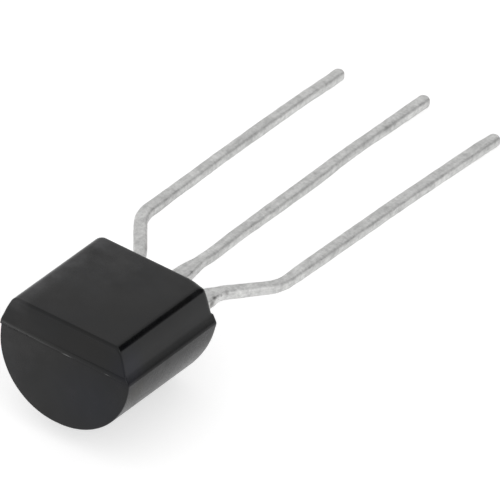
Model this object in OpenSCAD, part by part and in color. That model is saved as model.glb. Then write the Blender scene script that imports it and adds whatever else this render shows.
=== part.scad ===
// Small three-lead transistor in a moulded package. The body is flat in front and
// round behind, and the outer two of its leads are formed to a wider pitch.
//
// Every module up to at_rest() works in the package frame: X across the body, Y
// along the leads with the base face at Y = 0, and Z out of the flat with the
// parting plane at Z = 0. The front faces of the leads lie in the parting plane.

/* [Body] */
// Width over the foot of the front half
body_w = 4.53; // [4.5:0.01:4.56]
// Length from the top end to the base face
body_len = 4.37; // [4.3:0.01:4.8]
// Height of the flat above the parting plane
front_h = 1.04; // [1:0.01:1.1]
// Width of the flat, to where its rounded edges would meet the sides
flat_w = 3.74; // [3.6:0.02:3.8]
// Lean of the front half's sides from upright, in degrees
side_lean = 20.4; // [17:0.2:21]
// Rounding of the two long edges of the flat
edge_r = 0.26; // [0.15:0.01:0.3]
// Depth of the round half behind the parting plane
back_depth = 2.42; // [2.4:0.01:2.5]
// Radius of the round half
back_r = 2.27; // [2.24:0.01:2.3]

/* [Mould] */
// How far the front half sits off centre, towards the collector
mould_shift = 0.07; // [0:0.01:0.1]
// Height of the flared foot beside the parting line
foot_h = 0.17; // [0.12:0.01:0.22]
// Height at which the foot is widest
rim_h = 0.04; // [0.02:0.005:0.05]
// How far the front half draws in below its rim
groove = 0.03; // [0.01:0.005:0.04]
// Width of the bevel on the round half's edges along the parting line
bevel_w = 0.07; // [0.03:0.01:0.08]
// Depth of that bevel
bevel_h = 0.08; // [0.04:0.01:0.09]
// Draft of the base face over the front half's height
base_draft = 0.1; // [0.05:0.01:0.2]
// Draft of the top end over the front half's height
top_draft = 0.07; // [0.01:0.01:0.1]
// Draft of either end over the round half's depth
back_draft = 0.04; // [0.02:0.01:0.1]

/* [Leads] */
// Pitch of the leads where they leave the body
pitch = 1.27; // [1.25:0.01:1.29]
// Width of a lead
lead_w = 0.35; // [0.32:0.01:0.4]
// Thickness of a lead
lead_t = 0.34; // [0.32:0.01:0.36]
// Rounding of a lead's long edges
lead_r = 0.08; // [0.04:0.01:0.1]
// Width of a lead where the frame's tie bar was trimmed off
tie_w = 0.57; // [0.52:0.01:0.6]
// End of that wide stretch on the outer leads
outer_tie = 0.7; // [0.6:0.02:0.7]
// Length over which it narrows on the outer leads
outer_taper = 0.28; // [0.24:0.02:0.3]
// End of that wide stretch on the middle lead
middle_tie = 1.45; // [1.2:0.05:1.8]
// Length over which it narrows on the middle lead
middle_taper = 0.75; // [0.6:0.05:1]
// Corner radius of a lead's tip, in plan
tip_r = 0.14; // [0.1:0.01:0.16]

/* [Forming] */
// Angle of the formed jog in the outer leads, in degrees
jog_angle = 35.5; // [34:0.5:38]
// Radius of a bend, at the middle of the lead
bend_r = 1.4; // [1.2:0.05:1.4]
// Distance from the base face to where the two lines of the first bend cross
jog_start = 1.17; // [1.16:0.01:1.4]
// Sideways run of the collector lead's jog
collector_jog = 1.27; // [1.1:0.01:1.4]
// Sideways run of the emitter lead's jog
emitter_jog = 1.2; // [1.1:0.01:1.4]
// Outward lean of the collector lead after its jog, in degrees
collector_lean = -0.4; // [-1:0.1:2]
// Outward lean of the emitter lead after its jog, in degrees
emitter_lean = 1.8; // [-1:0.1:2]
// How far the middle lead sits off centre, towards the emitter
base_at = 0.1; // [0:0.01:0.12]
// Distance from the base face to a slight bend in the middle lead
base_bend = 10; // [8:0.1:11]
// Angle of that bend, in degrees
base_lean = 1.1; // [0.4:0.1:1.4]
// Reach of the collector lead from the base face
collector_reach = 13.1; // [13:0.02:13.4]
// Reach of the base lead from the base face
base_reach = 13.77; // [13.7:0.01:14.2]
// Reach of the emitter lead from the base face
emitter_reach = 13.49; // [13.4:0.01:13.6]

/* [Chip] */
// Side of the square die
die_w = 0.42; // [0.36:0.01:0.5]
// Thickness of the die
die_t = 0.2; // [0.15:0.01:0.25]
// Thickness of the layer that bonds the die to its flag
attach_t = 0.02; // [0.015:0.005:0.03]
// Diameter of the bond wires
wire_d = 0.03; // [0.025:0.005:0.04]
// Rise of the bond wires above the line between their ends
wire_rise = 0.35; // [0.3:0.01:0.4]

/* [Hidden] */
$fn = 48;

// Across the front half: how far a side falls outward from the flat down to its foot
side_run = (front_h - foot_h) * tan(side_lean);
// Middle of the rounding between the flat and a side
edge_x = flat_w / 2 - edge_r * (1 - sin(side_lean)) / cos(side_lean);
edge_z = front_h - edge_r;

// A lead's rounded stretch starts this far inside the body
buried = 0.4;
// The stretches of a lead are joined at this scale, so that their ends meet exactly
fine = 0.01;
// Length of the separately shaped tip, and how far its outline clears the sides
tip_len = 2 * tip_r;
tip_clear = 0.01;

// The lead frame inside the body
pad_r = 0.12;
flag_size = [1.6, 1.4];
flag_at = [-pitch - tie_w / 2 + flag_size.x / 2, -2.9];
base_pad_size = [1, 0.42];
base_pad_at = [0, -1.65];
emitter_pad_size = [1.06, 0.7];
emitter_pad_at = [pitch + tie_w / 2 - emitter_pad_size.x / 2, -2.65];

// Where the bond wires start on the die and end on the leads
die_top = attach_t + die_t;
bond_pitch = 0.2;
base_bond = [flag_at.x + bond_pitch / 2, flag_at.y + bond_pitch / 2, die_top];
emitter_bond = [flag_at.x + bond_pitch / 2, flag_at.y - bond_pitch / 2, die_top];
base_stitch = [base_pad_at.x, base_pad_at.y, 0];
emitter_stitch = [emitter_pad_at.x - 0.2, emitter_pad_at.y, 0];
ball_r = 1.5 * wire_d;
ball_h = 0.7 * wire_d;
stitch_r = 1.8 * wire_d;
stitch_h = 0.4 * wire_d;
// The arc of a wire runs on past its ends by this angle, and is then trimmed
wire_over = 6;

// Lengths of a formed lead: straight out of the body, down the jog, and on to the tip
root_len = jog_start - bend_r * tan(jog_angle / 2);
function slope_len(jog, lean) =
    (jog - bend_r * (1 + cos(lean) - 2 * cos(jog_angle))) / sin(jog_angle);
function tail_len(jog, lean, reach) =
    (reach - root_len - bend_r * (2 * sin(jog_angle) - sin(lean))
     - slope_len(jog, lean) * cos(jog_angle)) / cos(lean);

// The middle lead: straight to its slight bend, and on to the tip
lean_r = 20;
bend_reach = lean_r * tan(base_lean / 2);
base_tail = (base_reach - base_bend) / cos(base_lean) - bend_reach;

// The package lies on the round half's rim at the base face, on the tip of the
// middle lead and on the tip of the emitter lead. Their places from that rim:
middle_y = base_reach + back_draft;
middle_x = base_at + (base_reach - base_bend) * tan(base_lean);
outer_y = emitter_reach + back_draft;
outer_x = pitch + emitter_jog
          + tail_len(emitter_jog, emitter_lean, emitter_reach) * sin(emitter_lean);
// The plane through the three rises by these amounts along Y and X
rim_drop = back_depth - lead_t;
rise_y = rim_drop * (outer_x - middle_x) / (middle_y * outer_x - outer_y * middle_x);
rise_x = rim_drop * (middle_y - outer_y) / (middle_y * outer_x - outer_y * middle_x);
rest_tilt = atan(rise_y);
rest_roll = atan(rise_x * cos(rest_tilt));
rest_lift = (back_depth - rise_y * back_draft) * cos(rest_tilt) * cos(rest_roll);
// Middle of the length that the package covers as it lies
top_edge_y = (back_draft - body_len) * cos(rest_tilt) - back_depth * sin(rest_tilt);
rest_middle = (base_reach * cos(rest_tilt) + top_edge_y) / 2;

// Rectangle with rounded corners about the origin
module rounded(w, h, r) {
    square([w - 2 * r, h], center = true);
    square([w, h - 2 * r], center = true);
    for (x = [-1, 1], y = [-1, 1])
        translate([x * (w / 2 - r), y * (h / 2 - r)]) circle(r);
}

// ---- Body ----

// The front half across the body: flat, rounded edges, leaning sides, flared foot
module front_section() {
    foot_x = flat_w / 2 + side_run;
    tangent_x = edge_x + edge_r * cos(side_lean);
    tangent_z = edge_z + edge_r * sin(side_lean);
    right = [[body_w / 2 - groove, 0], [body_w / 2, rim_h], [foot_x, foot_h],
             [tangent_x, tangent_z], [edge_x, front_h]];
    left = [for (i = [len(right) - 1 : -1 : 0]) [-right[i].x, right[i].y]];
    polygon(concat(right, left));
    for (side = [-1, 1])
        translate([side * edge_x, edge_z]) circle(edge_r);
}

// The round half across the body: an arc, with short bevelled walls above it
module back_section() {
    wall_h = back_depth - back_r;
    top_x = back_r - bevel_w;
    polygon([[top_x, 0], [back_r, -bevel_h], [back_r, -wall_h],
             [-back_r, -wall_h], [-back_r, -bevel_h], [-top_x, 0]]);
    intersection() {
        translate([0, -wall_h]) circle(back_r, $fn = 144);
        translate([-back_r, -back_depth]) square([2 * back_r, back_r]);
    }
}

// The body's length seen from the side, drafted by base and top over the height h
module end_section(base, top, h) {
    polygon([[base, -h], [-2 * base, 2 * h], [2 * top - body_len, 2 * h], [-top - body_len, -h]]);
}

// One half of the body: its section along Y, cut to its drafted ends
module half() {
    intersection() {
        translate([0, body_len / 2, 0])
            rotate([90, 0, 0]) linear_extrude(2 * body_len) children(0);
        translate([-body_w, 0, 0])
            rotate([90, 0, 90]) linear_extrude(2 * body_w) children(1);
    }
}

module body_outside() {
    translate([-mould_shift, 0, 0]) half() {
        front_section();
        end_section(base_draft, top_draft, front_h);
    }
    half() {
        back_section();
        mirror([0, 1]) end_section(back_draft, back_draft, back_depth);
    }
}

// ---- Leads ----

// Straight stretch of lead along Y, with its front face in the parting plane
module bar(length) {
    translate([0, 0, -lead_t / 2])
        rotate([-90, 0, 0]) linear_extrude(length) rounded(lead_w, lead_t, lead_r);
}

// A whole lead at full size, from stretches that each carry the next one at their end
module path() {
    translate([0, -buried, 0]) scale(1 / fine) children();
}

// A straight stretch, and what follows from its end
module run(length) {
    scale(fine) bar(length);
    translate([0, fine * length, 0]) children();
}

// A bend in plan, to the left when the angle is positive, and what follows from it
module turn(angle, r = bend_r) {
    side = sign(angle);
    scale(fine) translate([-side * r, 0, -lead_t / 2])
        mirror([side < 0 ? 1 : 0, 0, 0])
            rotate_extrude(angle = abs(angle))
                translate([r, 0]) rounded(lead_w, lead_t, lead_r);
    translate(fine * [-side * r * (1 - cos(angle)), r * abs(sin(angle)), 0])
        rotate(angle) children();
}

// The rounded end of a lead
module tip() {
    corner_x = lead_w / 2 + tip_clear - tip_r;
    scale(fine) intersection() {
        bar(tip_len);
        translate([0, 0, -2 * lead_t]) linear_extrude(3 * lead_t) {
            translate([-lead_w, -tip_len]) square([2 * lead_w, 2 * tip_len - tip_r]);
            translate([-corner_x, 0]) square([2 * corner_x, tip_len]);
            for (side = [-1, 1])
                translate([side * corner_x, tip_len - tip_r]) circle(tip_r);
        }
    }
}

// An outer lead's outside form, as the left-hand one from its place on the base face
module formed_lead(jog, lean, reach) {
    path()
        run(buried + root_len)
            turn(jog_angle)
                run(slope_len(jog, lean))
                    turn(lean - jog_angle)
                        run(tail_len(jog, lean, reach) - tip_len)
                            tip();
}

// The sheared part of a lead, from its pad in the body to where the tie bar was
// trimmed off. Its sides narrow on past the lead's own width, inside the lead.
module stamping(x, size, at, wide_end, taper) {
    hidden_w = lead_w / 2;
    hidden_end = wide_end + taper * (tie_w - hidden_w) / (tie_w - lead_w);
    translate([0, 0, -lead_t]) linear_extrude(lead_t) {
        translate(at) rounded(size.x, size.y, pad_r);
        translate([x, 0])
            polygon([[tie_w / 2, at.y], [tie_w / 2, wide_end], [hidden_w / 2, hidden_end],
                     [-hidden_w / 2, hidden_end], [-tie_w / 2, wide_end], [-tie_w / 2, at.y]]);
    }
}

module collector_shape() {
    stamping(-pitch, flag_size, flag_at, outer_tie, outer_taper);
    translate([-pitch, 0, 0]) formed_lead(collector_jog, collector_lean, collector_reach);
}

module base_shape() {
    stamping(base_at, base_pad_size, base_pad_at, middle_tie, middle_taper);
    translate([base_at, 0, 0]) path()
        run(buried + base_bend - bend_reach)
            turn(-base_lean, lean_r)
                run(base_tail - tip_len)
                    tip();
}

module emitter_shape() {
    stamping(pitch, emitter_pad_size, emitter_pad_at, outer_tie, outer_taper);
    mirror([1, 0, 0])
        translate([-pitch, 0, 0]) formed_lead(emitter_jog, emitter_lean, emitter_reach);
}

// ---- Chip and bond wires ----

module attach_shape() {
    translate([flag_at.x, flag_at.y, 0])
        linear_extrude(attach_t) rounded(die_w + 2 * attach_t, die_w + 2 * attach_t, attach_t);
}

module die_shape() {
    translate([flag_at.x - die_w / 2, flag_at.y - die_w / 2, attach_t]) cube([die_w, die_w, die_t]);
}

// A wire from one point to another: a ball on the first, a round arc, a flat stitch
module wire_shape(from, to) {
    way = to - from;
    plan = norm([way.x, way.y]);
    radius = (way * way / 4 + wire_rise * wire_rise) / (2 * wire_rise);
    half_angle = asin(norm(way) / 2 / radius) + wire_over;
    translate((from + to) / 2)
        rotate([0, -atan2(way.z, plan), atan2(way.y, way.x)])
            translate([0, 0, wire_rise - radius]) rotate([90, 0, 0])
                rotate(90 - half_angle) rotate_extrude(angle = 2 * half_angle, start = 0)
                    translate([radius, 0]) circle(wire_d / 2, $fn = 24);
    translate(from) cylinder(r = ball_r, h = ball_h);
    translate(to) cylinder(r = stitch_r, h = stitch_h);
}

module base_wire_shape() {
    difference() {
        wire_shape(base_bond, base_stitch);
        die_shape();
        base_shape();
    }
}

module emitter_wire_shape() {
    difference() {
        wire_shape(emitter_bond, emitter_stitch);
        die_shape();
        emitter_shape();
    }
}

// ---- The parts, lying as the package comes to rest, with +Z up ----

module at_rest() {
    translate([0, -rest_middle, rest_lift])
        rotate([-rest_tilt, rest_roll, 0]) children();
}

module moulded_body() {
    color([0.19, 0.19, 0.2]) at_rest() difference() {
        body_outside();
        collector_shape();
        base_shape();
        emitter_shape();
        attach_shape();
        die_shape();
        base_wire_shape();
        emitter_wire_shape();
    }
}

module collector_lead() {
    color([0.72, 0.72, 0.73]) at_rest() collector_shape();
}

module base_lead() {
    color([0.72, 0.72, 0.73]) at_rest() base_shape();
}

module emitter_lead() {
    color([0.72, 0.72, 0.73]) at_rest() emitter_shape();
}

module die() {
    color([0.35, 0.36, 0.4]) at_rest() die_shape();
}

module die_attach() {
    color([0.6, 0.58, 0.55]) at_rest() attach_shape();
}

module base_wire() {
    color([0.85, 0.65, 0.25]) at_rest() base_wire_shape();
}

module emitter_wire() {
    color([0.85, 0.65, 0.25]) at_rest() emitter_wire_shape();
}

moulded_body();
collector_lead();
base_lead();
emitter_lead();
die();
die_attach();
base_wire();
emitter_wire();
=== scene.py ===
import bpy
import bmesh
import math
from mathutils import Matrix, Quaternion, Vector, noise


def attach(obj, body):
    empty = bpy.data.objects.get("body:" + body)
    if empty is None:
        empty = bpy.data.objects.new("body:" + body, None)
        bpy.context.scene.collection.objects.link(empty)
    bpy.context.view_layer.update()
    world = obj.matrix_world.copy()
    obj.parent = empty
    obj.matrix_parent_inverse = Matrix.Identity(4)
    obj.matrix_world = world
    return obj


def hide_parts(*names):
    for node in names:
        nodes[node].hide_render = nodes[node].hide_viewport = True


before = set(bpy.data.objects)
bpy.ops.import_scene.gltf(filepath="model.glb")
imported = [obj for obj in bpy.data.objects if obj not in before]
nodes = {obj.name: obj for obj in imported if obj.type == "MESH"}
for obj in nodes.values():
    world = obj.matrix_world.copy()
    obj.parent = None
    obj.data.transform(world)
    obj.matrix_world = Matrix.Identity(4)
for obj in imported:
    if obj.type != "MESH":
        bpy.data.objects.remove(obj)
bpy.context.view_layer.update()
mm = 0.001
print("frame loaded")


# The aim is in millimetres, the distance and the clipping in metres, the angles in degrees
cameraSetup = {
    "aim": (3.1394, -4.0830, 5.1833),
    "azimuth": 35.956,
    "elevation": 41.08,
    "roll": -0.390,
    "distance": 0.5,
    "lens": 1265.1,
    "sensor": 36,
    "clip": (0.05, 5),
}

studio = {
    "floorSize": 1.6,
    "floorColour": (0.72, 0.72, 0.72),
    "floorLift": 0.56,       # what the camera sees added to the paper's own light
    "glossLift": 0.72,       # share of that lift in reflections
    "tent": 0.75,            # the white tent all round
    # a black card that stands behind: bearing, then distance, width, foot and top in metres
    "card": (33, 0.42, 0.44, 0.025, 0.42),
    "cardColour": (0.01, 0.01, 0.01),
    # direction, distance and size in metres, radiance
    "softbox": ((0.80, -0.15, 0.58), 0.6, (0.45, 0.45), 0.95),
}


def placeCamera():
    setup = cameraSetup
    az, el, roll = (math.radians(setup[angle]) for angle in ("azimuth", "elevation", "roll"))
    back = Vector((math.sin(az) * math.cos(el), -math.cos(az) * math.cos(el), math.sin(el)))
    lens = bpy.data.cameras.new("camera")
    lens.lens = setup["lens"]
    lens.sensor_width = setup["sensor"]
    lens.clip_start, lens.clip_end = setup["clip"]
    camera = bpy.data.objects.new("camera", lens)
    bpy.context.scene.collection.objects.link(camera)
    camera.rotation_mode = "QUATERNION"
    camera.location = Vector(setup["aim"]) * mm + back * setup["distance"]
    turn = Quaternion((0, 0, 1), roll)
    camera.rotation_quaternion = (-back).to_track_quat("-Z", "Y") @ turn
    bpy.context.scene.camera = camera


def newMaterial(name):
    material = bpy.data.materials.new(name)
    material.use_nodes = True
    tree = material.node_tree
    tree.nodes.clear()
    return material, tree


def addNode(tree, kind, inputs=None, **settings):
    node = tree.nodes.new(kind)
    for key, value in settings.items():
        setattr(node, key, value)
    for key, value in (inputs or {}).items():
        if isinstance(value, bpy.types.NodeSocket):
            tree.links.new(value, node.inputs[key])
        else:
            node.inputs[key].default_value = value
    return node


def addObject(name, shape, material):
    mesh = bpy.data.meshes.new(name)
    shape.to_mesh(mesh)
    shape.free()
    mesh.materials.append(material)
    made = bpy.data.objects.new(name, mesh)
    bpy.context.scene.collection.objects.link(made)
    return made


def makeFloor():
    material, tree = newMaterial("floorPaper")
    paper = addNode(tree, "ShaderNodeBsdfDiffuse", {"Color": (*studio["floorColour"], 1)})
    path = addNode(tree, "ShaderNodeLightPath")
    gloss = addNode(tree, "ShaderNodeMath", {0: path.outputs["Is Glossy Ray"],
                    1: studio["glossLift"]}, operation="MULTIPLY")
    seen = addNode(tree, "ShaderNodeMath", {0: path.outputs["Is Camera Ray"],
                   1: gloss.outputs[0]}, operation="MAXIMUM")
    lift = addNode(tree, "ShaderNodeMath", {0: seen.outputs[0], 1: studio["floorLift"]},
                   operation="MULTIPLY")
    glow = addNode(tree, "ShaderNodeEmission", {"Strength": lift.outputs[0]})
    both = addNode(tree, "ShaderNodeAddShader", {0: paper.outputs[0], 1: glow.outputs[0]})
    # seen from below, the paper lets the object show
    side = addNode(tree, "ShaderNodeNewGeometry")
    clear = addNode(tree, "ShaderNodeBsdfTransparent")
    sided = addNode(tree, "ShaderNodeMixShader", {0: side.outputs["Backfacing"],
                    1: both.outputs[0], 2: clear.outputs[0]})
    addNode(tree, "ShaderNodeOutputMaterial", {"Surface": sided.outputs[0]})
    shape = bmesh.new()
    bmesh.ops.create_grid(shape, x_segments=1, y_segments=1, size=studio["floorSize"] / 2)
    addObject("floor", shape, material)


def makeCard():
    material, tree = newMaterial("blackPaper")
    paper = addNode(tree, "ShaderNodeBsdfDiffuse", {"Color": (*studio["cardColour"], 1)})
    addNode(tree, "ShaderNodeOutputMaterial", {"Surface": paper.outputs[0]})
    bearing, distance, width, low, high = studio["card"]
    shape = bmesh.new()
    bmesh.ops.create_grid(shape, x_segments=1, y_segments=1, size=0.5)
    place = (Matrix.Rotation(math.radians(-bearing), 4, "Z")
             @ Matrix.Translation((0, distance, (low + high) / 2))
             @ Matrix.Rotation(math.radians(90), 4, "X")
             @ Matrix.Diagonal((width, high - low, 1, 1)))
    bmesh.ops.transform(shape, matrix=place, verts=shape.verts)
    addObject("blackCard", shape, material)


def placeSoftbox(name):
    direction, distance, size, radiance = studio["softbox"]
    away = Vector(direction).normalized()
    lamp = bpy.data.lights.new(name, "AREA")
    lamp.shape = "RECTANGLE"
    lamp.size, lamp.size_y = size
    lamp.energy = radiance * math.pi * size[0] * size[1]
    box = bpy.data.objects.new(name, lamp)
    bpy.context.scene.collection.objects.link(box)
    box.location = away * distance
    box.rotation_mode = "QUATERNION"
    box.rotation_quaternion = (-away).to_track_quat("-Z", "Y")


def lightTent():
    world = bpy.data.worlds.new("studio")
    bpy.context.scene.world = world
    world.use_nodes = True
    sky = world.node_tree.nodes["Background"].inputs
    sky["Color"].default_value = (1, 1, 1, 1)
    sky["Strength"].default_value = studio["tent"]


placeCamera()
makeFloor()
makeCard()
placeSoftbox("softboxRight")
lightTent()
bpy.context.scene.view_settings.view_transform = "Standard"
print("studio set")


# The pieces are built with X across the body, Y along the leads from the base face
# and Z out of the flat, in millimetres, then laid down as the package rests.
lie = {"tilt": 8.55401, "roll": 0.910984, "middle": 4.48752, "lift": 2.38683}
laying = (Matrix.Scale(mm, 4)
          @ Matrix.Translation((0, -lie["middle"], lie["lift"]))
          @ Matrix.Rotation(math.radians(lie["roll"]), 4, "Y")
          @ Matrix.Rotation(math.radians(-lie["tilt"]), 4, "X"))


def startRing(shape, places):
    corners = [shape.verts.new(p) for p in places]
    return [shape.edges.new((a, b)) for a, b in zip(corners, corners[1:] + corners[:1])]


# The ring's vertices, in the order in which its edges were listed
def ringVerts(ring):
    order = []
    for one, after in zip(ring, ring[1:] + ring[:1]):
        shared = set(one.verts) & set(after.verts)
        order.append(next(v for v in one.verts if v not in shared))
    return order


# Carries a ring of edges on to new places, and returns the new ring
def carryRing(shape, ring, places):
    order = ringVerts(ring)
    spot = {tuple(v.co): i for i, v in enumerate(order)}
    made = bmesh.ops.extrude_edge_only(shape, edges=ring)["geom"]
    verts = [g for g in made if isinstance(g, bmesh.types.BMVert)]
    byPlace = {spot[tuple(v.co)]: v for v in verts}
    fresh = [byPlace[i] for i in range(len(order))]
    for v, p in zip(fresh, places):
        v.co = p
    return [shape.edges.get((a, b)) for a, b in zip(fresh, fresh[1:] + fresh[:1])]


# Makes a tube through rings of places, and returns its first and last ring of edges
def makeTube(shape, rings):
    first = ring = startRing(shape, rings[0])
    for places in rings[1:]:
        ring = carryRing(shape, ring, places)
    return first, ring


def closeEnds(shape, ends):
    for ring in ends:
        shape.faces.new(ringVerts(ring))


def arc(centre, radius, start, stop, steps):
    angles = [math.radians(start + (stop - start) * i / steps) for i in range(steps + 1)]
    return [(centre[0] + radius * math.cos(a), centre[1] + radius * math.sin(a)) for a in angles]


# Rounds the corner between two straight stretches
def fillet(before, corner, after, radius, steps):
    a = (Vector(before) - Vector(corner)).normalized()
    b = (Vector(after) - Vector(corner)).normalized()
    half = a.angle(b) / 2
    reach = radius / math.tan(half)
    middle = Vector(corner) + (a + b).normalized() * radius / math.sin(half)
    first, last = Vector(corner) + a * reach - middle, Vector(corner) + b * reach - middle
    sweep = first.angle_signed(last)
    turns = [Matrix.Rotation(-sweep * i / steps, 2) for i in range(steps + 1)]
    return [tuple(middle + turn @ first) for turn in turns]


def roundedBox(middle, size, radius, steps):
    points = []
    for k, (sx, sy) in enumerate(((1, 1), (-1, 1), (-1, -1), (1, -1))):
        centre = (middle[0] + sx * (size[0] / 2 - radius), middle[1] + sy * (size[1] / 2 - radius))
        points += arc(centre, radius, 90 * k, 90 * k + 90, steps)
    return points


meshing = {"weld": 1e-6, "evenWeight": 80}


def finishPiece(name, shape, material, replaced):
    bmesh.ops.remove_doubles(shape, verts=shape.verts, dist=meshing["weld"])
    bmesh.ops.recalc_face_normals(shape, faces=shape.faces)
    for face in shape.faces:
        face.smooth = True
    bmesh.ops.transform(shape, matrix=laying, verts=shape.verts)
    piece = addObject(name, shape, material)
    even = piece.modifiers.new("evenShading", "WEIGHTED_NORMAL")
    even.weight = meshing["evenWeight"]
    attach(piece, "root")
    if replaced:
        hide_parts(replaced)


# In the looks below, places are in millimetres along the package's own axes. A noise is its
# scale per millimetre, detail, roughness and offset. A ramp is the two levels between which
# it runs, then its values there, which are 0 and 1 if left out.
noiseLevels = (0.35, 0.65)   # between which a noise mostly runs

epoxyLook = {
    "cool": (0.0040, 0.0042, 0.0046),
    "warm": (0.0048, 0.0045, 0.0042),
    "patch": (0.55, 2, 0.5, (3.1, 0.4, 7.7)),
    "patchRamp": (0.40, 0.60),
    # a film of dust and mould release in clouds, whose strength is painted sheen: it grows towards
    # the base and the collector's side, with a painted highlight along the flat's long edge there,
    # and lies on the round half
    "dustAndSheen": (0.16, 0.16, 0.165),
    "cloud": (1.3, 5, 0.62, (9.0, 2.0, 1.0)),
    "cloudRamp": (0.32, 0.70, 0.25, 1.75),
    "sheenLean": (-0.55, 0.45, 0),
    "sheenRamp": (-1.9, 0.6, 0, 0.11),
    "edgeSheenAcross": (-1.30, -1.82, 0, 0.16),
    "edgeSheenHeight": (0.6, 1.0),
    "backSheenHeight": (0.02, -0.06, 0, 0.03),
    # the round half is duller than the front one, short of the end that has no leads, and painted
    # paler there as a sheen
    "dullHeight": (-0.05, -0.09),
    "dullAlong": (-4.36, -4.30),
    "dullSheen": 0.13,
    "dullRough": 0.04,
    # pale bands that lift the dark lines mirrored by the end face's rounded edges: how each
    # starts and how it ends, by height
    "endBands": (((0.86, 0.98, 0, 0.050), (1.20, 1.30, 1, 0)),
                 ((-0.02, 0.03, 0, 0.034), (0.10, 0.16, 1, 0))),
    "endAlong": (-4.29, -4.345),
    # place, reach, colour and share of faint tinted spots, and of painted glints at the fin's torn
    # places
    "spots": (((2.05, -4.0, 0.35), 0.8, (0.006, 0.008, 0.030), 0.30),
              ((1.1, -4.37, -1.2), 1.9, (0.008, 0.011, 0.024), 0.35),
              ((2.2, -3.9, -0.5), 0.6, (0.030, 0.026, 0.014), 0.45)),
    "tornGlints": (((0.085, -4.38, 0), 0.26, (0.16, 0.16, 0.16), 1.0),
                  ((1.51, -4.38, 0), 0.13, (0.10, 0.10, 0.10), 1.0)),
    # how much paler the fin is: thin resin and painted highlight
    "tornHazeAndSheen": 0.012,
    "worn": (2.2, 4, 0.6, (2.0, 8.0, 4.0)),
    "gloss": (0.20, 0.27),
    "ior": 1.36,
    "wave": (0.9, 1, 0.4, (0.0, 5.0, 2.0)),
    "waveHeight": 0.006,
    "grain": (38, 3, 0.6),
    "grainHeight": 0.0007,
}

tinLook = {
    "dark": (0.56, 0.56, 0.555),
    "light": (0.87, 0.87, 0.86),
    # the two mix by coarse mottling, drawn streaks and fine salt, in these shares
    "mottle": (2.6, 6, 0.62),
    "drawn": (5.5, 4, 0.6, (6.0, 3.0, 2.0)),
    "drawnStretch": (1, 0.14, 1),
    "salt": (9, 2, 0.7),
    "shares": {"mottle": 0.40, "drawn": 0.30, "salt": 0.30},
    "mixRamp": (0.38, 0.62),
    "stainAndShade": (0.10, 0.095, 0.09),
    "speck": (6.5, 3, 0.55, (4.0, 1.0, 8.0)),
    "speckRamp": (0.70, 0.78, 0, 0.7),
    # place, reach and share of darker spots; the third is painted shade on the emitter lead's side
    # near the body, the others are marks on the tin
    "spots": (((1.54, 0.88, 0.0), 0.12, 0.75), ((1.63, 1.05, 0.0), 0.08, 0.50),
              ((1.555, 0.74, -0.14), 0.19, 0.70), ((1.65, 1.33, 0.0), 0.12, 0.50),
              ((1.56, 1.19, -0.08), 0.07, 0.45), ((1.60, 1.41, -0.07), 0.11, 0.50),
              ((0.29, 1.50, 0.0), 0.09, 0.45), ((0.2, 11.45, 0.0), 0.13, 0.30),
              ((2.54, 12.4, 0.0), 0.45, 0.16)),
    "worn": (11, 4, 0.6, (1.0, 6.0, 3.0)),
    "satin": (0.52, 0.70),
    "drawnHeight": 0.004,
    "fine": (20, 3, 0.6),
    "fineHeight": 0.0016,
}

# What the looks of the parts inside the resin share: detail, roughness and offset of the
# noises for their patches, wear and relief, and how much finer the wear is than the patches
innerNoise = {"patch": (5, 0.6), "worn": (4, 0.6, (5.0, 1.0, 2.0)), "relief": (3, 0.6),
              "wornFiner": 3}

# Each in two tones: the scale of their patches, roughness, scale and height of their
# relief, and how metallic they are
innerLooks = {
    "etchedSilicon": {"dark": (0.10, 0.11, 0.14), "light": (0.17, 0.18, 0.21), "patch": 7,
                      "rough": (0.10, 0.24), "grain": 60, "height": 0.0004, "metal": 0.55},
    "silverEpoxy": {"dark": (0.40, 0.39, 0.37), "light": (0.62, 0.61, 0.59), "patch": 12,
                    "rough": (0.50, 0.72), "grain": 45, "height": 0.0020, "metal": 0.35},
    "goldWire": {"dark": (0.78, 0.54, 0.18), "light": (0.92, 0.70, 0.32), "patch": 10,
                 "rough": (0.18, 0.34), "grain": 70, "height": 0.0005, "metal": 1.0},
}


def mathNode(tree, operation, first, second=0.0, third=0.0):
    return addNode(tree, "ShaderNodeMath", {0: first, 1: second, 2: third},
                   operation=operation).outputs[0]


def vectorNode(tree, operation, first, second):
    node = addNode(tree, "ShaderNodeVectorMath", {0: first, 1: second}, operation=operation)
    return node.outputs["Value" if operation in ("DOT_PRODUCT", "DISTANCE") else "Vector"]


def patternSpace(tree, stretch=None):
    where = addNode(tree, "ShaderNodeTexCoord")
    space = addNode(tree, "ShaderNodeMapping", {"Vector": where.outputs["Object"],
                    "Location": laying.translation,
                    "Rotation": laying.decompose()[1].to_euler(),
                    "Scale": (mm, mm, mm)}, vector_type="TEXTURE").outputs["Vector"]
    return vectorNode(tree, "MULTIPLY", space, stretch) if stretch else space


def noiseAt(tree, space, scale, detail, rough, offset=None):
    if offset:
        space = vectorNode(tree, "ADD", space, offset)
    return addNode(tree, "ShaderNodeTexNoise", {"Vector": space, "Scale": scale,
                   "Detail": detail, "Roughness": rough}).outputs["Fac"]


def spread(tree, value, low, high, start=0.0, end=1.0, smooth=False):
    return addNode(tree, "ShaderNodeMapRange", {"Value": value, "From Min": low, "From Max": high,
                   "To Min": start, "To Max": end},
                   interpolation_type="SMOOTHSTEP" if smooth else "LINEAR").outputs["Result"]


def mixRgb(tree, share, first, second):
    node = tree.nodes.new("ShaderNodeMix")
    node.data_type = "RGBA"
    for socket, value in zip((node.inputs[0], node.inputs[6], node.inputs[7]),
                             (share, first, second)):
        if isinstance(value, bpy.types.NodeSocket):
            tree.links.new(value, socket)
        else:
            socket.default_value = value
    return node.outputs[2]


def raised(tree, height, millimetres, under=None):
    inputs = {"Height": height, "Distance": millimetres * mm, "Strength": 1.0}
    if under:
        inputs["Normal"] = under
    return addNode(tree, "ShaderNodeBump", inputs).outputs["Normal"]


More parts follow.
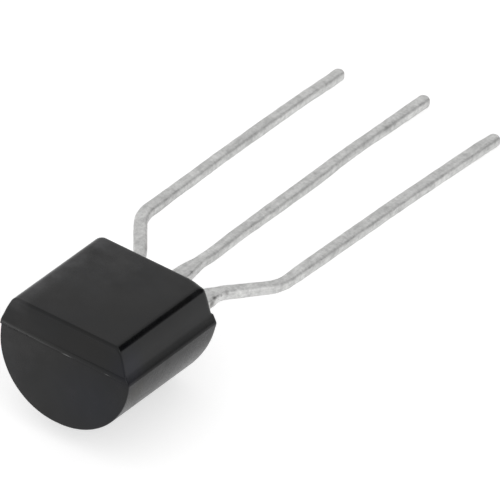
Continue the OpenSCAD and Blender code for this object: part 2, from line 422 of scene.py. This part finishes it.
# How near a place is to a spot: the share there, 0 at the given reach
def nearSpot(tree, space, spot, reach, share):
    gap = vectorNode(tree, "DISTANCE", space, spot)
    return mathNode(tree, "MULTIPLY", spread(tree, gap, 0, reach, 1, 0, smooth=True), share)


def makeShader(tree, colour, rough, normal, **others):
    shader = addNode(tree, "ShaderNodeBsdfPrincipled",
                     {"Base Color": colour, "Roughness": rough, "Normal": normal, **others})
    addNode(tree, "ShaderNodeOutputMaterial", {"Surface": shader.outputs[0]})


# How much dust film, painted sheen and painted pale end bands lie at each place, and where the
# resin is duller
def dustAndPaintedSheen(tree, space, look):
    axes = addNode(tree, "ShaderNodeSeparateXYZ", {"Vector": space}).outputs
    cloud = spread(tree, noiseAt(tree, space, *look["cloud"]), *look["cloudRamp"])
    # painted sheen: lighter towards the base and the collector's side, along the flat's long edge
    # there and on the round half
    lean = vectorNode(tree, "DOT_PRODUCT", space, look["sheenLean"])
    paintedSheenLevel = spread(tree, lean, *look["sheenRamp"])
    lower = spread(tree, axes["Z"], *look["backSheenHeight"], smooth=True)
    edge = mathNode(tree, "MULTIPLY", spread(tree, axes["X"], *look["edgeSheenAcross"], smooth=True),
                    spread(tree, axes["Z"], *look["edgeSheenHeight"]))
    paintedSheenLevel = mathNode(tree, "ADD", mathNode(tree, "ADD", paintedSheenLevel, lower), edge)
    dullAndSheen = mathNode(tree, "MULTIPLY", spread(tree, axes["Z"], *look["dullHeight"]),
                    spread(tree, axes["Y"], *look["dullAlong"]))
    # the round half is painted paler here, as sheen
    paintedSheenLevel = mathNode(tree, "MULTIPLY_ADD", dullAndSheen, look["dullSheen"], paintedSheenLevel)
    dustAndSheenShare = mathNode(tree, "MULTIPLY", cloud, paintedSheenLevel)
    for start, stop in look["endBands"]:
        band = mathNode(tree, "MULTIPLY", spread(tree, axes["Z"], *start, smooth=True),
                        spread(tree, axes["Z"], *stop, smooth=True))
        band = mathNode(tree, "MULTIPLY", band, spread(tree, axes["Y"], *look["endAlong"]))
        dustAndSheenShare = mathNode(tree, "ADD", dustAndSheenShare, band)
    return dustAndSheenShare, dullAndSheen


# The resin; the fin's along the seam is a little paler, partly as thin resin and partly as a
# painted highlight, with painted glints where it is torn
def makeEpoxy(name, torn):
    look = epoxyLook
    material, tree = newMaterial(name)
    space = patternSpace(tree)
    tint = noiseAt(tree, space, *look["patch"])
    colour = mixRgb(tree, spread(tree, tint, *look["patchRamp"], smooth=True),
                    (*look["cool"], 1), (*look["warm"], 1))
    dustAndSheenShare, dullAndSheen = dustAndPaintedSheen(tree, space, look)
    # the fin: paler, partly as painted highlight, with painted glints at its torn places
    if torn:
        dustAndSheenShare = mathNode(tree, "ADD", dustAndSheenShare, look["tornHazeAndSheen"])
    colour = mixRgb(tree, dustAndSheenShare, colour, (*look["dustAndSheen"], 1))
    for spot, reach, shade, share in look["tornGlints" if torn else "spots"]:
        colour = mixRgb(tree, nearSpot(tree, space, spot, reach, share), colour, (*shade, 1))
    rough = spread(tree, noiseAt(tree, space, *look["worn"]), *noiseLevels, *look["gloss"])
    rough = mathNode(tree, "MULTIPLY_ADD", dullAndSheen, look["dullRough"], rough)
    wave = raised(tree, noiseAt(tree, space, *look["wave"]), look["waveHeight"])
    grain = raised(tree, noiseAt(tree, space, *look["grain"]), look["grainHeight"], wave)
    makeShader(tree, colour, rough, grain, IOR=look["ior"])
    return material


def makeTin():
    look = tinLook
    material, tree = newMaterial("tinPlate")
    space = patternSpace(tree)
    drawn = noiseAt(tree, patternSpace(tree, look["drawnStretch"]), *look["drawn"])
    both = mathNode(tree, "MULTIPLY", drawn, look["shares"]["drawn"])
    for layer in ("mottle", "salt"):
        both = mathNode(tree, "MULTIPLY_ADD", noiseAt(tree, space, *look[layer]),
                        look["shares"][layer], both)
    colour = mixRgb(tree, spread(tree, both, *look["mixRamp"]), (*look["dark"], 1),
                    (*look["light"], 1))
    specks = spread(tree, noiseAt(tree, space, *look["speck"]), *look["speckRamp"], smooth=True)
    colour = mixRgb(tree, specks, colour, (*look["stainAndShade"], 1))
    # darker spots, one of them painted shade on the emitter lead near the body
    for spot in look["spots"]:
        colour = mixRgb(tree, nearSpot(tree, space, *spot), colour, (*look["stainAndShade"], 1))
    rough = spread(tree, noiseAt(tree, space, *look["worn"]), *noiseLevels, *look["satin"])
    streak = raised(tree, drawn, look["drawnHeight"])
    fine = raised(tree, noiseAt(tree, space, *look["fine"]), look["fineHeight"], streak)
    makeShader(tree, colour, rough, fine, Metallic=1.0)
    return material


# A plain material of two tones in patches, with uneven gloss and a fine relief
def makeMottled(name, look):
    material, tree = newMaterial(name)
    space = patternSpace(tree)
    patches = noiseAt(tree, space, look["patch"], *innerNoise["patch"])
    colour = mixRgb(tree, spread(tree, patches, *noiseLevels), (*look["dark"], 1),
                    (*look["light"], 1))
    worn = noiseAt(tree, space, look["patch"] * innerNoise["wornFiner"], *innerNoise["worn"])
    rough = spread(tree, worn, *noiseLevels, *look["rough"])
    grain = noiseAt(tree, space, look["grain"], *innerNoise["relief"])
    relief = raised(tree, grain, look["height"])
    makeShader(tree, colour, rough, relief, Metallic=look["metal"])
    return material


epoxy = makeEpoxy("mouldedEpoxy", False)
flashPaintedGlints = makeEpoxy("finResinPaintedGlints", True)
tin = makeTin()
inner = {name: makeMottled(name, look) for name, look in innerLooks.items()}
print("materials mixed")


bodyShape = {
    "length": 4.37,
    "flatHeight": 1.04,
    "flatWidth": 3.74,       # to where the long edges would meet the sides
    "sideLean": 20.4,
    "longEdge": 0.26,        # rounding of the flat's two long edges
    "sideSwell": 0.012,      # how far the sides bow outwards
    "sideShare": 0.8,        # of the way down to the foot, given to the side's own points
    "footHeight": 0.20,
    "footFillet": 0.5,
    # to the right and to the left: how far the front half and the round one reach at the
    # seam, how deep the round half's edge is sloped, and the rounding of that
    "seam": ((2.228, 2.231, 0.075, 0.02), (2.285, 2.215, 0.03, 0.02)),
    "seamGap": 0.004,        # the round half starts this much below the seam
    "shift": 0.07,           # how far the front half sits off the round one
    "backRadius": 2.27,
    "backDepth": 2.42,
    # to the right and to the left: how much narrower it is at the seam and fuller below
    "backUneven": ((0, 0), (0.04, 0.04)),
    # mould draft: how far the base face falls back at the flat and at the round back, and
    # the top end at the flat
    "baseDraft": 0.085,
    "backDraft": 0.04,
    "topDraft": 0.02,
    # rounding of the end edges along the flat, the sides, the seam and the round half:
    # how far it reaches across the end face, then along the body
    "topInset": (0.22, 0.05, 0.02, 0.05),
    "topRound": (0.06, 0.05, 0.05, 0.05),
    "baseInset": (0.035, 0.16, 0.03, 0.20),
    "baseRound": (0.12, 0.16, 0.08, 0.40),
    "backBlend": 1.3,        # depth over which the round half's rounding grows
    "baseCorner": (0.13, 0.45),  # more of it where the right long edge ends, and its reach
    # points round the section: half the flat, a long edge, a side, its foot, the round
    # half's sloped edge and half of its back
    "steps": {"flat": 8, "edge": 14, "side": 8, "foot": 8, "slope": 4, "back": 48},
    "endSteps": 5,
    "stations": 12,
    "endStation": 0.01,      # share of the length from the first and last station to the end
}


# One side of the section, as if it were the right one: the front half's points down to the
# seam, then the round half's. Each point also says where it is: on the flat, 0, the side, 1,
# the seam, 2, or the round back, 3.
def bodySection(side):
    b, steps = bodyShape, bodyShape["steps"]
    lean = math.radians(b["sideLean"])
    shift = -side * b["shift"]
    edgeX = shift + b["flatWidth"] / 2 - b["longEdge"] * (1 - math.sin(lean)) / math.cos(lean)
    edgeZ = b["flatHeight"] - b["longEdge"]
    footX = shift + b["flatWidth"] / 2 + (b["flatHeight"] - b["footHeight"]) * math.tan(lean)
    seamX, backSeamX, drop, rounding = b["seam"][0 if side > 0 else 1]
    tangent = (edgeX + b["longEdge"] * math.cos(lean), edgeZ + b["longEdge"] * math.sin(lean))
    foot, seam = (footX, b["footHeight"]), (seamX, 0)
    front = [(edgeX * i / steps["flat"], b["flatHeight"], 0) for i in range(steps["flat"])]
    edge = arc((edgeX, edgeZ), b["longEdge"], 90, b["sideLean"], steps["edge"])
    front += [(*p, i / steps["edge"]) for i, p in enumerate(edge)]
    for i in range(1, steps["side"]):
        share = i / steps["side"]
        swell = b["sideSwell"] * 4 * share * (1 - share)
        x, z = Vector(tangent).lerp(Vector(foot), share * b["sideShare"])
        front.append((x + swell * math.cos(lean), z + swell * math.sin(lean), 1))
    bend = fillet(tangent, foot, seam, b["footFillet"], steps["foot"])
    front += [(*p, 1 + i / steps["foot"]) for i, p in enumerate(bend)]
    front.append((*seam, 2))
    narrow, bulge = b["backUneven"][0 if side > 0 else 1]
    wallX, wallFoot = b["backRadius"] - narrow, b["backRadius"] - b["backDepth"]
    backSeam, shoulder = (backSeamX, -b["seamGap"]), (wallX, -drop)
    back = [(*backSeam, 2)]
    back += [(*p, 2) for p in fillet(backSeam, shoulder, (wallX, -1), rounding, steps["slope"])]
    for i, (x, z) in enumerate(arc((0, wallFoot), b["backRadius"], 0, -90, steps["back"])):
        t = math.pi / 2 * i / steps["back"]
        more = (bulge * math.sin(2 * t) - narrow * math.cos(t) ** 2) / b["backRadius"]
        back.append((x * (1 + more), wallFoot + (z - wallFoot) * (1 + more), 3 if i else 2))
    return front, back


def buildBody():
    b, steps = bodyShape, bodyShape["steps"]
    front, back = bodySection(1)
    leftFront, leftBack = bodySection(-1)
    right = front + back
    section = right + [(-x, z, kind) for x, z, kind in reversed(leftFront[1:] + leftBack[:-1])]
    spots = [Vector((x, z)) for x, z, kind in section]
    # the way out of the body at each point, which is straight sideways along the seam
    outward = []
    for i, (x, z, kind) in enumerate(section):
        way = (spots[(i + 1) % len(spots)] - spots[i - 1]).normalized()
        outward.append(Vector((math.copysign(1, x), 0) if kind == 2 else (-way.y, way.x)))
    flatEnd = max(x for x, z, kind in section if kind == 0)

    # a measure that changes from the flat to the side, the seam and the round back
    def along(values, kind, z):
        if kind > 2:
            kind = 2 + min(1, -z / b["backBlend"])
        low = min(int(kind), 2)
        return values[low] + (values[low + 1] - values[low]) * (kind - low)

    # a point of an end's rounding, from the end face, 0, to a quarter turn
    def endPlace(i, turn, end):
        kind = section[i][2]
        reach = along(b[end + "Round"], kind, spots[i].y)
        inset = along(b[end + "Inset"], kind, spots[i].y)
        if end == "base" and kind <= 1 and spots[i].x > 0:
            more, fade = b["baseCorner"]
            gap = flatEnd - spots[i].x if kind == 0 else 0
            more *= max(0, 1 - gap / fade) ** 2 * math.cos(math.pi / 2 * kind) ** 2
            reach += more
            inset += more
        spot = spots[i] - outward[i] * inset * (1 - math.sin(turn))
        back = reach * (1 - math.cos(turn))
        if end == "top":
            rise = b["topDraft"] * max(0, spot.y) / b["flatHeight"]
            return (spot.x, rise - b["length"] + back, spot.y)
        if spot.y > 0:
            return (spot.x, -b["baseDraft"] * spot.y / b["flatHeight"] - back, spot.y)
        return (spot.x, b["backDraft"] * spot.y / b["backDepth"] - back, spot.y)

    count = range(len(section))
    turns = [math.pi / 2 * i / b["endSteps"] for i in range(b["endSteps"] + 1)]
    topEnd = [[endPlace(i, turn, "top") for i in count] for turn in turns]
    baseEnd = [[endPlace(i, turn, "base") for i in count] for turn in reversed(turns)]
    shares = [k / b["stations"] for k in range(1, b["stations"])]
    between = []
    for share in (b["endStation"], *shares, 1 - b["endStation"]):
        between.append([Vector(p).lerp(Vector(q), share) for p, q in zip(topEnd[-1], baseEnd[0])])
    shape = bmesh.new()
    ends = makeTube(shape, topEnd + between + baseEnd)
    closeEnds(shape, ends)
    # rows of edges run across each end, from below the long edges down
    for ring in ends:
        corners = ringVerts(ring)
        for i in range(steps["flat"] + steps["edge"] + 2, len(right) - 1):
            bmesh.ops.connect_verts(shape, verts=[corners[i], corners[-i]])
    finishPiece("mouldedBody", shape, epoxy, "moulded_body")


flashShape = {
    "reach": (-2.22, 2.17),
    "step": 0.02,
    "height": 0.0012,
    "width": 0.018,
    "least": 0.35,           # share of the height that is left between the waves
    "waves": (5.1, 13.7),
    "fadeSteps": 8,
    "profileSteps": 6,
    # middle and half length of the places where it is torn, and how much it stands out there
    "torn": ((0.085, 0.20, 0.013), (1.51, 0.10, 0.010), (-1.32, 0.05, 0.003)),
    # the skirt runs on just under the surface, so that the fin shades as part of it: how far
    # past the fin, and how deep its near and far corners are
    "skirt": 0.012,
    "skirtDepths": (0.002, 0.02),
}


# The thin fin of resin along the seam across the end that has no leads
def buildFlash():
    f = flashShape
    start, stop = f["reach"]
    steps = round((stop - start) / f["step"])
    endY = -bodyShape["length"]
    near, far = f["skirtDepths"]
    rings = []
    for i in range(steps + 1):
        x = start + (stop - start) * i / steps
        uneven = 0.5 + 0.25 * math.sin(f["waves"][0] * x + 1) + 0.25 * math.sin(f["waves"][1] * x)
        fade = min(1, i / f["fadeSteps"], (steps - i) / f["fadeSteps"])
        high = f["height"] * (f["least"] + (1 - f["least"]) * uneven) * fade
        wide = f["width"] * (0.5 + 0.5 * fade)
        for middle, half, more in f["torn"]:
            tear = more * max(0, 1 - ((x - middle) / half) ** 4)
            high += tear
            wide += tear
        turns = [math.pi * k / f["profileSteps"] for k in range(f["profileSteps"] + 1)]
        places = [(x, endY - high * math.sin(t) ** 2, wide / 2 * math.cos(t)) for t in turns]
        skirt = wide / 2 + f["skirt"]
        rings.append(places + [(x, endY + depth, side * skirt) for depth, side
                               in ((near, -1), (far, -1), (far, 1), (near, 1))])
    shape = bmesh.new()
    closeEnds(shape, makeTube(shape, rings))
    finishPiece("partingFlash", shape, flashPaintedGlints, None)


buildBody()
buildFlash()
print("body built")


leadShape = {
    "width": 0.39,
    "thick": 0.325,
    "edge": 0.10,            # rounding of the drawn length's long edges
    "cutEdge": 0.06,         # and of the wide stretch, which is sheared
    "mostEdge": 0.45,        # share of the width that a rounding may take
    "tieWidth": 0.57,
    "bend": 1.4,             # radius of the outer leads' bends, along the lead's middle
    "gentleBend": 20,        # and of the middle lead's
    "step": 0.12,            # between two stations along a lead
    "bendStep": 4,           # degrees between two stations in a bend
    "tipRound": 0.14,
    "tipThin": 0.03,         # how far the shear rolls the tip's front and back edges
    "tipSteps": 6,
    "tipGap": 0.002,         # the last station stops this short of the very tip
    "cornerSteps": 4,
    "padRound": 0.12,
    "padCornerSteps": 5,
    "padOverlap": 0.1,       # how far the lead runs on into its pad
    "padSkin": 0.001,        # keeps the pad's faces off the lead's
    # unevenness of the tinned surface, how coarse its two layers are, and how far the
    # first is moved by each lead's place, so that no two leads are alike
    "rough": 0.004,
    "roughScales": (3.1, 9.7),
    "roughMove": 7,
}

# Where a lead leaves the body, its side, the end of its wide stretch and the length over
# which that narrows, the moves that it makes from the base face to the tip, and its pad.
# The hand-formed leads wander: at a distance from the base face, how far sideways and how
# much wider. The tips are up to 0.16 mm nearer the body than the solids' are.
leadForms = {
    "collectorLead": {
        "node": "collector_lead", "root": -1.27, "side": 1, "tie": (0.70, 0.28),
        "jog": 1.27, "jogAngle": 35.5, "jogStart": 1.17, "lean": -0.4, "reach": 13.01,
        "pad": ((-0.755, -2.9), (1.6, 1.4)),
        "wander": ((0, 0, 0), (3.5, -0.010, 0.005), (5, -0.036, -0.024), (7.3, -0.072, -0.037),
                   (9.5, -0.077, -0.030), (11, -0.074, -0.044), (12.5, -0.037, -0.034)),
    },
    "baseLead": {
        "node": "base_lead", "root": 0.1, "tie": (1.45, 0.75),
        "bendAt": 10, "lean": 1.1, "reach": 13.61,
        "pad": ((0, -1.65), (1.0, 0.42)),
        "wander": ((0, 0, 0), (2, -0.028, -0.044), (2.8, -0.005, -0.028), (4.3, -0.031, -0.030),
                   (5.8, -0.027, 0.005), (8, -0.028, 0.008), (9.5, -0.061, -0.028),
                   (10.5, -0.058, -0.050), (11.5, -0.050, -0.030), (13.3, -0.050, -0.010)),
    },
    "emitterLead": {
        "node": "emitter_lead", "root": 1.27, "side": -1, "tie": (0.95, 0.35),
        "jog": 1.2, "jogAngle": 35.5, "jogStart": 1.17, "lean": 1.8, "reach": 13.385,
        "pad": ((1.025, -2.65), (1.06, 0.7)),
        "wander": ((0, 0, 0), (1.3, -0.011, 0.028), (2.8, 0.020, -0.040), (4.3, 0, 0.019),
                   (6.5, -0.024, 0.018), (8.5, -0.045, 0.020), (10.3, -0.037, 0.007),
                   (12.5, -0.024, 0.014), (13.3, 0, -0.010)),
    },
}


# Places and headings along a lead from inside the body to its tip, in plan; a move is a
# length, or an angle and a radius, and a positive angle turns left
def walk(start, moves):
    x, y, heading = start[0], start[1], 0.0
    path = [(x, y, heading)]
    for length, angle, radius in moves:
        if angle:
            steps = max(2, round(abs(angle) / leadShape["bendStep"]))
            for i in range(steps):
                piece = math.radians(angle) / steps
                chord = 2 * radius * math.sin(abs(piece) / 2)
                heading += piece / 2
                x, y = x - chord * math.sin(heading), y + chord * math.cos(heading)
                heading += piece / 2
                path.append((x, y, heading))
        else:
            steps = max(1, round(length / leadShape["step"]))
            for i in range(steps):
                x -= length / steps * math.sin(heading)
                y += length / steps * math.cos(heading)
                path.append((x, y, heading))
    return path


# The moves of an outer lead: out, into the jog, out of it, and on to the tip
def outerMoves(form, buried):
    bend = leadShape["bend"]
    angle, lean = math.radians(form["jogAngle"]), math.radians(form["lean"])
    root = form["jogStart"] - bend * math.tan(angle / 2)
    slope = (form["jog"] - bend * (1 + math.cos(lean) - 2 * math.cos(angle))) / math.sin(angle)
    tail = (form["reach"] - root - bend * (2 * math.sin(angle) - math.sin(lean))
            - slope * math.cos(angle)) / math.cos(lean)
    side = form["side"]
    return [(buried + root, 0, 0), (0, side * form["jogAngle"], bend), (slope, 0, 0),
            (0, side * (form["lean"] - form["jogAngle"]), bend), (tail, 0, 0)]


# The moves of the middle lead: out, a slight bend, and on to the tip
def middleMoves(form, buried):
    bend, lean = leadShape["gentleBend"], math.radians(form["lean"])
    reach = bend * math.tan(lean / 2)
    tail = (form["reach"] - form["bendAt"]) / math.cos(lean) - reach
    return [(buried + form["bendAt"] - reach, 0, 0), (0, -form["lean"], bend), (tail, 0, 0)]


# Outline of a lead's section: four rounded corners with two points along each side
def leadSection(width, thick, radius):
    steps = leadShape["cornerSteps"]
    points = roundedBox((0, 0), (width, thick), radius, steps)
    full = []
    for i, p in enumerate(points):
        full.append(p)
        if i % (steps + 1) == steps:
            q = points[(i + 1) % len(points)]
            full += [(p[0] + (q[0] - p[0]) * t, p[1] + (q[1] - p[1]) * t) for t in (1 / 3, 2 / 3)]
    return full


def wanderAt(table, y):
    if y <= table[0][0]:
        return 0.0, 0.0
    for (a, moveA, wideA), (b, moveB, wideB) in zip(table, table[1:]):
        if y < b:
            share = (1 - math.cos(math.pi * (y - a) / (b - a))) / 2
            return moveA + (moveB - moveA) * share, wideA + (wideB - wideA) * share
    return table[-1][1:]


# Each station's place, heading and distance from the base face, with closer ones at the tip
def leadStations(form, buried):
    s = leadShape
    moves = middleMoves(form, buried) if "bendAt" in form else outerMoves(form, buried)
    path = walk((form["root"], -buried), moves)
    travelled = -buried
    stations = [(*path[0], travelled)]
    for a, b in zip(path, path[1:]):
        travelled += math.hypot(b[0] - a[0], b[1] - a[1])
        stations.append((*b, travelled))
    x, y, heading = path[-1]
    stations = [one for one in stations if one[3] < travelled - s["tipRound"]]
    for i in range(s["tipSteps"] + 1):
        back = s["tipRound"] * (1 - math.sin(math.pi / 2 * i / s["tipSteps"])) + s["tipGap"]
        stations.append((x + back * math.sin(heading), y - back * math.cos(heading), heading,
                         travelled - back))
    return stations, travelled


# How far the tinned surface stands out at a place
def roughAt(spot, root):
    coarse, fine = leadShape["roughScales"]
    move = Vector((root * leadShape["roughMove"], 0, 0))
    push = noise.noise(spot * coarse + move) * leadShape["rough"] * 2
    return push + noise.noise(spot * fine) * leadShape["rough"]


def buildLead(name, form):
    s = leadShape
    (px, py), (pw, ph) = form["pad"]
    stations, total = leadStations(form, s["padOverlap"] - (py + ph / 2))
    wideEnd, taper = form["tie"]
    rings = []
    for x, y, heading, along in stations:
        wide = min(1, max(0, (wideEnd + taper - along) / taper))
        move, wider = wanderAt(form["wander"], y)
        x += move
        width = s["width"] + (s["tieWidth"] - s["width"]) * wide + wider
        radius = s["edge"] + (s["cutEdge"] - s["edge"]) * wide
        thick = s["thick"]
        left = max(0, s["tipRound"] - (total - along)) / s["tipRound"]
        if left > 0:
            narrowed = 1 - math.sqrt(max(0, 1 - left * left))
            width -= 2 * s["tipRound"] * narrowed
            thick -= 2 * s["tipThin"] * narrowed
        places = []
        for across, up in leadSection(width, thick, min(radius, width * s["mostEdge"])):
            side, ahead = across * math.cos(heading), across * math.sin(heading)
            spot = Vector((x + side, y + ahead, up - s["thick"] / 2))
            out = Vector((side, ahead, up)).normalized()
            places.append(spot + out * roughAt(spot, form["root"]))
        rings.append(places)
    shape = bmesh.new()
    closeEnds(shape, makeTube(shape, rings))
    # the pad inside the body, which carries the chip or takes a bond wire
    outline = roundedBox((px, py), (pw, ph), s["padRound"], s["padCornerSteps"])
    skin = s["padSkin"]
    closeEnds(shape, makeTube(shape, [[(x, y, z) for x, y in outline]
                                      for z in (-skin, skin - s["thick"])]))
    finishPiece(name, shape, tin, form["node"])


for name, form in leadForms.items():
    buildLead(name, form)
print("leads built")


looks = {"moulded_body": epoxy, "die": inner["etchedSilicon"],
         "die_attach": inner["silverEpoxy"], "base_wire": inner["goldWire"],
         "emitter_wire": inner["goldWire"]}
for name, node in nodes.items():
    node.data.materials.clear()
    node.data.materials.append(looks.get(name, tin))
